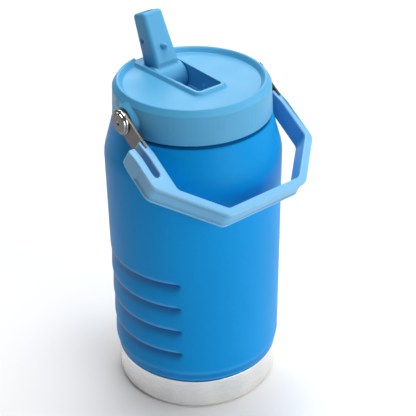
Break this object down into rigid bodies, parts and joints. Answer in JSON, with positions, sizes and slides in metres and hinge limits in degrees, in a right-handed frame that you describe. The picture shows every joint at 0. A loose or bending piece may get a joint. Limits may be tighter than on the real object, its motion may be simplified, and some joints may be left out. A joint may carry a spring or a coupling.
{
  "type": "insulated water jug",
  "caption": "Large double-wall steel water jug with a screw-on lid, flip-up drinking spout, inner straw and a swinging bail handle with an open hanging hook.",
  "frame": {"origin": "Centre of the foot's rest ring, on the plane the jug stands on.", "axes": "+Z is the jug's axis and points up. +X is the handle's pivot axis, from the hook side to the plain side. -Y is the front: the handle hangs there and the spout folds toward it; the raised spout stands at +Y."},
  "size_m": [0.1323, 0.142, 0.275],
  "materials": {
    "blue_coat": "fine-textured powder coat on the steel wall",
    "brushed_base": "bare, brushed round the axis",
    "vessel_steel": "satin, drawn",
    "neck_steel": "satin",
    "strap_steel": "satin, rolled strip with warm edges",
    "rivet_steel": "polished crown",
    "pin_steel": "ground",
    "getter_metal": "pressed powder",
    "seal_metal": "fused disc",
    "insert_brass": "turned",
    "lid_plastic": "fine moulded grain",
    "liner_plastic": "moulded",
    "spout_plastic": "satin moulded",
    "handle_plastic": "satin moulded",
    "washer_plastic": "moulded",
    "straw_plastic": "extruded",
    "seal_rubber": "moulded silicone"
  },
  "bodies": {
    "jug": {"outer_shell": "blue_coat", "base_cup": "brushed_base", "neck_collar": "neck_steel", "inner_vessel": "vessel_steel", "vacuum_seal_disc": "seal_metal", "getter_pill": "getter_metal"},
    "lid": {"lid_shell": "lid_plastic", "lid_liner": "liner_plastic", "lid_gasket": "seal_rubber", "boss_inserts": "insert_brass", "pivot_rivets": "rivet_steel", "pivot_washers": "washer_plastic", "spout_pins": "pin_steel", "spout_seal": "seal_rubber", "straw_stem": "straw_plastic", "straw": "straw_plastic", "vent_valve": "seal_rubber"},
    "spout": {"spout": "spout_plastic"},
    "handle": {"handle": "handle_plastic", "strap_left": "strap_steel", "strap_right": "strap_steel", "strap_pins": "pin_steel"}
  },
  "joints": [
    {"name": "lid_lift", "type": "slide", "parent": "jug", "child": "lid", "axis": [0, 0, 1], "range_m": [0, 0.22]},
    {"name": "spout_flip", "type": "hinge", "parent": "lid", "child": "spout", "pos_m": [0, 0.0282, 0.2301], "axis": [1, 0, 0], "range_deg": [0, 110.3]},
    {"name": "handle_swing", "type": "hinge", "parent": "lid", "child": "handle", "pos_m": [0, 0, 0.2266], "axis": [-1, 0, 0], "range_deg": [-1.5, 250]}
  ]
}
